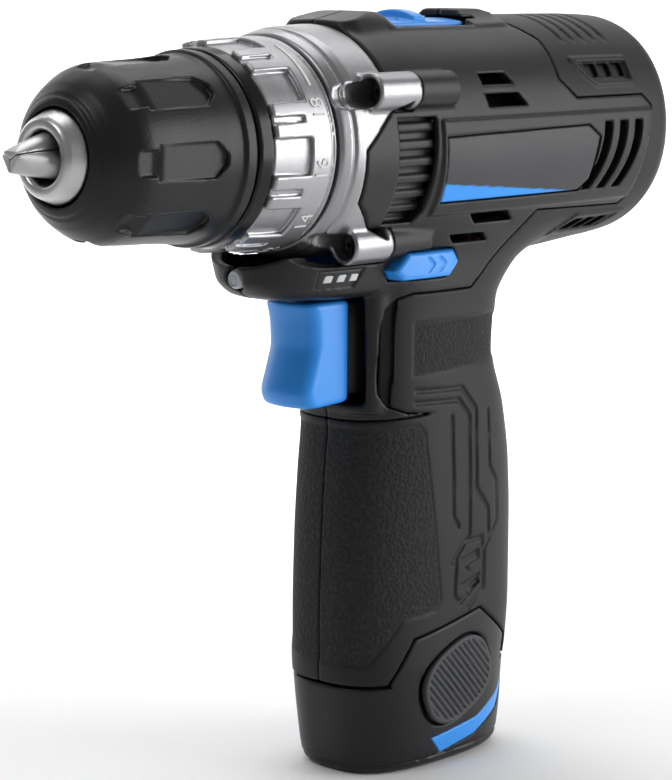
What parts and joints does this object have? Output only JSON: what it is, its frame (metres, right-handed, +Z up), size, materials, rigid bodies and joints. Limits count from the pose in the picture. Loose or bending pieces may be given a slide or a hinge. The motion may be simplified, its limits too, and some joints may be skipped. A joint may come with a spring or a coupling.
{
  "type": "cordless drill",
  "caption": "Compact pistol-grip cordless drill with keyless chuck, torque collar, planetary gearbox, trigger switch and slide-out stick battery.",
  "frame": {"origin": "centre of the battery's flat base, which the drill stands on", "axes": "+X along the spindle towards the chuck nose, +Y to the drill's left side, +Z up the handle"},
  "size_m": [0.1937, 0.0566, 0.1783],
  "materials": {
    "black_plastic": "fine satin moulding texture",
    "rubber_grip": "soft grained overmould",
    "grey_plate": "satin",
    "silver_paint": "satin silver grey",
    "bright_steel": "turned and ground",
    "gear_steel": "sintered",
    "copper": "enamelled wire and laminations",
    "brass": "plain",
    "blue_plastic": "semi gloss",
    "clear_lens": "polished clear",
    "wire_cover": "plain",
    "cell_wrap": "shrink wrap"
  },
  "bodies": {
    "drill_body": {"housing_left": "black_plastic", "housing_right": "black_plastic", "grip_left": "rubber_grip", "grip_right": "rubber_grip", "name_plate_left": "grey_plate", "name_plate_right": "grey_plate", "gearbox_case": "black_plastic", "gearbox_ring": "silver_paint", "gearbox_screw_1": "gear_steel", "gearbox_screw_2": "gear_steel", "gearbox_screw_3": "gear_steel", "gearbox_screw_4": "gear_steel", "front_bearing": "bright_steel", "ring_gear_first": "gear_steel", "ring_gear_third": "gear_steel", "motor_can": "gear_steel", "motor_magnet_left": "gear_steel", "motor_magnet_right": "gear_steel", "motor_end_cap": "black_plastic", "switch_body": "black_plastic", "led_lens": "clear_lens", "gauge_window": "grey_plate", "terminal_block": "brass", "wire_loom": "wire_cover", "clutch_spring": "bright_steel"},
    "rotor": {"armature": "copper", "cooling_fan": "black_plastic"},
    "first_carrier": {"carrier_first": "gear_steel"},
    "second_carrier": {"carrier_second": "gear_steel"},
    "output": {"spindle": "bright_steel", "carrier_third": "gear_steel", "chuck_body": "bright_steel", "chuck_screw": "gear_steel"},
    "sleeve": {"chuck_sleeve": "black_plastic", "chuck_nut": "gear_steel"},
    "jaw_1": {"chuck_jaw_1": "bright_steel"},
    "jaw_2": {"chuck_jaw_2": "bright_steel"},
    "jaw_3": {"chuck_jaw_3": "bright_steel"},
    "collar": {"torque_collar": "silver_paint"},
    "adjuster": {"clutch_nut": "brass"},
    "selector": {"speed_selector": "blue_plastic"},
    "shifter": {"shift_fork": "bright_steel", "ring_gear_second": "gear_steel"},
    "trigger_key": {"trigger": "blue_plastic"},
    "direction_key": {"direction_button": "blue_plastic"},
    "battery": {"battery_shell": "black_plastic", "cell_1": "cell_wrap", "cell_2": "cell_wrap", "cell_3": "cell_wrap"},
    "latch_left": {"battery_latch_left": "grey_plate"},
    "latch_right": {"battery_latch_right": "grey_plate"},
    "gear_first_1": {"planet_first_1": "gear_steel"},
    "gear_first_2": {"planet_first_2": "gear_steel"},
    "gear_first_3": {"planet_first_3": "gear_steel"},
    "gear_second_1": {"planet_second_1": "gear_steel"},
    "gear_second_2": {"planet_second_2": "gear_steel"},
    "gear_second_3": {"planet_second_3": "gear_steel"},
    "gear_third_1": {"planet_third_1": "gear_steel"},
    "gear_third_2": {"planet_third_2": "gear_steel"},
    "gear_third_3": {"planet_third_3": "gear_steel"}
  },
  "joints": [
    {"name": "spindle_spin", "type": "hinge", "parent": "drill_body", "child": "output", "pos_m": [0.02, 0, 0.149], "axis": [1, 0, 0], "continuous": true},
    {"name": "carrier_second_spin", "type": "hinge", "parent": "drill_body", "child": "second_carrier", "pos_m": [0.02, 0, 0.149], "axis": [1, 0, 0], "continuous": true},
    {"name": "carrier_first_spin", "type": "hinge", "parent": "drill_body", "child": "first_carrier", "pos_m": [0.02, 0, 0.149], "axis": [1, 0, 0], "continuous": true},
    {"name": "rotor_spin", "type": "hinge", "parent": "drill_body", "child": "rotor", "pos_m": [0.02, 0, 0.149], "axis": [1, 0, 0], "continuous": true},
    {"name": "planet_first_1_spin", "type": "hinge", "parent": "first_carrier", "child": "gear_first_1", "pos_m": [0.02, 0.01155, 0.149], "axis": [1, 0, 0], "continuous": true},
    {"name": "planet_first_2_spin", "type": "hinge", "parent": "first_carrier", "child": "gear_first_2", "pos_m": [0.02, -0.00577, 0.159], "axis": [1, 0, 0], "continuous": true},
    {"name": "planet_first_3_spin", "type": "hinge", "parent": "first_carrier", "child": "gear_first_3", "pos_m": [0.02, -0.00577, 0.139], "axis": [1, 0, 0], "continuous": true},
    {"name": "planet_second_1_spin", "type": "hinge", "parent": "second_carrier", "child": "gear_second_1", "pos_m": [0.02, 0.01155, 0.149], "axis": [1, 0, 0], "continuous": true},
    {"name": "planet_second_2_spin", "type": "hinge", "parent": "second_carrier", "child": "gear_second_2", "pos_m": [0.02, -0.00577, 0.159], "axis": [1, 0, 0], "continuous": true},
    {"name": "planet_second_3_spin", "type": "hinge", "parent": "second_carrier", "child": "gear_second_3", "pos_m": [0.02, -0.00577, 0.139], "axis": [1, 0, 0], "continuous": true},
    {"name": "planet_third_1_spin", "type": "hinge", "parent": "output", "child": "gear_third_1", "pos_m": [0.02, 0.01155, 0.149], "axis": [1, 0, 0], "continuous": true},
    {"name": "planet_third_2_spin", "type": "hinge", "parent": "output", "child": "gear_third_2", "pos_m": [0.02, -0.00577, 0.159], "axis": [1, 0, 0], "continuous": true},
    {"name": "planet_third_3_spin", "type": "hinge", "parent": "output", "child": "gear_third_3", "pos_m": [0.02, -0.00577, 0.139], "axis": [1, 0, 0], "continuous": true},
    {"name": "chuck_sleeve_turn", "type": "hinge", "parent": "output", "child": "sleeve", "pos_m": [0.09, 0, 0.149], "axis": [1, 0, 0], "range_deg": [0, 1800]},
    {"name": "jaw_1_slide", "type": "slide", "parent": "output", "child": "jaw_1", "axis": [-0.9537, 0, 0.3007], "range_m": [0, 0.014]},
    {"name": "jaw_2_slide", "type": "slide", "parent": "output", "child": "jaw_2", "axis": [-0.9537, -0.2604, -0.1504], "range_m": [0, 0.014]},
    {"name": "jaw_3_slide", "type": "slide", "parent": "output", "child": "jaw_3", "axis": [-0.9537, 0.2604, -0.1504], "range_m": [0, 0.014]},
    {"name": "torque_collar_turn", "type": "hinge", "parent": "drill_body", "child": "collar", "pos_m": [0.06, 0, 0.149], "axis": [1, 0, 0], "range_deg": [-32, 272]},
    {"name": "adjuster_slide", "type": "slide", "parent": "drill_body", "child": "adjuster", "axis": [1, 0, 0], "range_m": [-0.0004, 0.0024]},
    {"name": "speed_selector_slide", "type": "slide", "parent": "drill_body", "child": "selector", "axis": [-1, 0, 0], "range_m": [0, 0.0032]},
    {"name": "shifter_slide", "type": "slide", "parent": "drill_body", "child": "shifter", "axis": [-1, 0, 0], "range_m": [0, 0.0032]},
    {"name": "trigger_pull", "type": "slide", "parent": "drill_body", "child": "trigger_key", "axis": [-1, 0, 0], "range_m": [0, 0.006], "stiffness_N_per_m": 900, "springref_m": -0.004},
    {"name": "direction_button_push", "type": "slide", "parent": "drill_body", "child": "direction_key", "axis": [0, 1, 0], "range_m": [-0.0024, 0.0024]},
    {"name": "battery_release", "type": "slide", "parent": "drill_body", "child": "battery", "axis": [0, 0, -1], "range_m": [0, 0.09]},
    {"name": "latch_left_press", "type": "slide", "parent": "battery", "child": "latch_left", "axis": [0, -1, 0], "range_m": [0, 0.0012], "stiffness_N_per_m": 1500, "springref_m": -0.001},
    {"name": "latch_right_press", "type": "slide", "parent": "battery", "child": "latch_right", "axis": [0, 1, 0], "range_m": [0, 0.0012], "stiffness_N_per_m": 1500, "springref_m": -0.001}
  ],
  "couplings": [
    {"joint": "carrier_second_spin", "follows": "spindle_spin", "ratio": 3.5},
    {"joint": "carrier_first_spin", "follows": "spindle_spin", "ratio": 12.25},
    {"joint": "rotor_spin", "follows": "spindle_spin", "ratio": 42.875},
    {"joint": "planet_first_1_spin", "follows": "spindle_spin", "ratio": -40.833},
    {"joint": "planet_first_2_spin", "follows": "spindle_spin", "ratio": -40.833},
    {"joint": "planet_first_3_spin", "follows": "spindle_spin", "ratio": -40.833},
    {"joint": "planet_second_1_spin", "follows": "spindle_spin", "ratio": -11.667},
    {"joint": "planet_second_2_spin", "follows": "spindle_spin", "ratio": -11.667},
    {"joint": "planet_second_3_spin", "follows": "spindle_spin", "ratio": -11.667},
    {"joint": "planet_third_1_spin", "follows": "spindle_spin", "ratio": -3.3333},
    {"joint": "planet_third_2_spin", "follows": "spindle_spin", "ratio": -3.3333},
    {"joint": "planet_third_3_spin", "follows": "spindle_spin", "ratio": -3.3333},
    {"joint": "jaw_1_slide", "follows": "chuck_sleeve_turn", "m_per_rad": 0.00044563},
    {"joint": "jaw_2_slide", "follows": "chuck_sleeve_turn", "m_per_rad": 0.00044563},
    {"joint": "jaw_3_slide", "follows": "chuck_sleeve_turn", "m_per_rad": 0.00044563},
    {"joint": "adjuster_slide", "follows": "torque_collar_turn", "m_per_rad": 0.00045233},
    {"joint": "shifter_slide", "follows": "speed_selector_slide", "ratio": 1}
  ]
}
